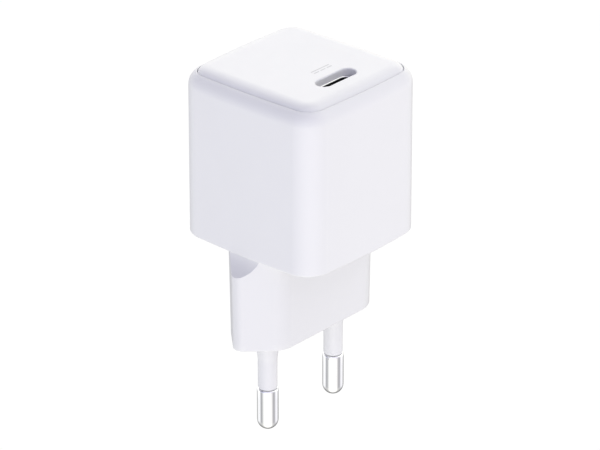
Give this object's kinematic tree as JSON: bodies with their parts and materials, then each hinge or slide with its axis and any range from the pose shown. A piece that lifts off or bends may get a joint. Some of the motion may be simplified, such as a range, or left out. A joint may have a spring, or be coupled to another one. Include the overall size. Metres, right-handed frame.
{
  "type": "USB-C wall power adapter",
  "caption": "Compact white rounded-cube wall power adapter with a recessed USB-C port in its pillow-like cap and a fixed hexagonal Europlug with insulated round pins.",
  "frame": {"origin": "centre of the plug's engagement face, midway between the two pins", "axes": "+Z towards the port, pins point along -Z, X along the line through the two pins, -Y is the side the port is nearer to"},
  "size_m": [0.0362, 0.0328, 0.0707],
  "materials": {
    "shell_white": "satin moulded polycarbonate, fine grain",
    "cap_white": "satin moulded polycarbonate",
    "plug_white": "satin moulded polycarbonate",
    "sleeve_white": "soft satin sleeve",
    "plated_pin": "bright nickel plate on brass",
    "bronze": "rolled phosphor bronze",
    "board_green": "green solder mask on glass epoxy",
    "shell_steel": "nickel-plated stainless steel",
    "port_black": "black moulded polymer",
    "gold": "gold-plated contacts",
    "chip_black": "black moulding compound",
    "ferrite": "sintered dark grey ferrite",
    "bobbin_black": "black phenolic",
    "copper": "enamelled copper",
    "tape_yellow": "yellow polyester tape",
    "can_sleeve": "dark shrink sleeve",
    "rubber": "black seal rubber",
    "polymer_can": "bare drawn aluminium can",
    "film_yellow": "yellow film capacitor case",
    "ceramic_blue": "blue epoxy-coated ceramic disc",
    "fuse_brown": "brown fuse case",
    "thermistor_green": "green coated ceramic disc",
    "barrier": "translucent insulating sheet",
    "pad_grey": "grey-blue silicone pad"
  },
  "bodies": {
    "root": {"housing": "shell_white", "top_cap": "cap_white", "plug_neck": "plug_white", "pin_line": "plated_pin", "pin_neutral": "plated_pin", "sleeve_line": "sleeve_white", "sleeve_neutral": "sleeve_white", "contact_spring_line": "bronze", "contact_spring_neutral": "bronze", "main_board": "board_green", "port_board": "board_green", "fuse": "fuse_brown", "inrush_thermistor": "thermistor_green", "bridge_rectifier": "chip_black", "power_switch": "chip_black", "optocoupler": "chip_black", "x_capacitor": "film_yellow", "choke_core": "ferrite", "choke_winding_a": "copper", "choke_winding_b": "copper", "bulk_capacitor_a": "can_sleeve", "bulk_capacitor_b": "can_sleeve", "bulk_seal_a": "rubber", "bulk_seal_b": "rubber", "transformer_core_lower": "ferrite", "transformer_core_upper": "ferrite", "transformer_bobbin": "bobbin_black", "transformer_winding": "copper", "transformer_tape": "tape_yellow", "y_capacitor": "ceramic_blue", "insulating_barrier": "barrier", "output_capacitor_a": "polymer_can", "output_capacitor_b": "polymer_can", "output_seal_a": "rubber", "output_seal_b": "rubber", "sync_rectifier": "chip_black", "output_mosfet": "chip_black", "pd_controller": "chip_black", "thermal_pad": "pad_grey", "heat_spreader": "copper", "usb_c_shell": "shell_steel", "usb_c_tongue": "port_black", "contact_row_front": "gold", "contact_row_back": "gold"}
  },
  "joints": []
}
